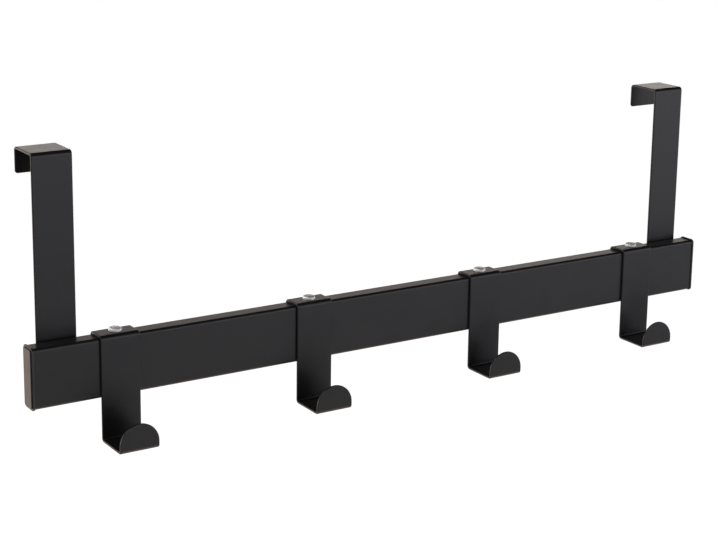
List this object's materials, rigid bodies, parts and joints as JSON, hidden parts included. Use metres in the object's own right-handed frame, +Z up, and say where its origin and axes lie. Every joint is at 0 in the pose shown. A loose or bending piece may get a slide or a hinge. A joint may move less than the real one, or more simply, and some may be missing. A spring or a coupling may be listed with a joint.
{
  "type": "over door hook rail",
  "caption": "Black steel rail that hangs on a door's top edge by two bent strips and carries a row of bent strip coat hooks with half round tips.",
  "frame": {"origin": "on the door's face, midway along the rail, level with the door's top edge", "axes": "+X along the rail, +Y into the door, +Z up"},
  "size_m": [0.506, 0.0645, 0.1735],
  "materials": {
    "rail_coat": "black satin powder coat",
    "hanger_coat": "black satin powder coat",
    "hook_coat": "black satin powder coat",
    "cap_plastic": "moulded black plastic",
    "screw_zinc": "bright zinc plate"
  },
  "bodies": {
    "root": {"rail_tube": "rail_coat", "end_cap_left": "cap_plastic", "end_cap_right": "cap_plastic", "door_hanger_left": "hanger_coat", "door_hanger_right": "hanger_coat", "coat_hook_1": "hook_coat", "coat_hook_2": "hook_coat", "coat_hook_3": "hook_coat", "coat_hook_4": "hook_coat", "hook_screw_1": "screw_zinc", "hook_screw_2": "screw_zinc", "hook_screw_3": "screw_zinc", "hook_screw_4": "screw_zinc"}
  },
  "joints": []
}
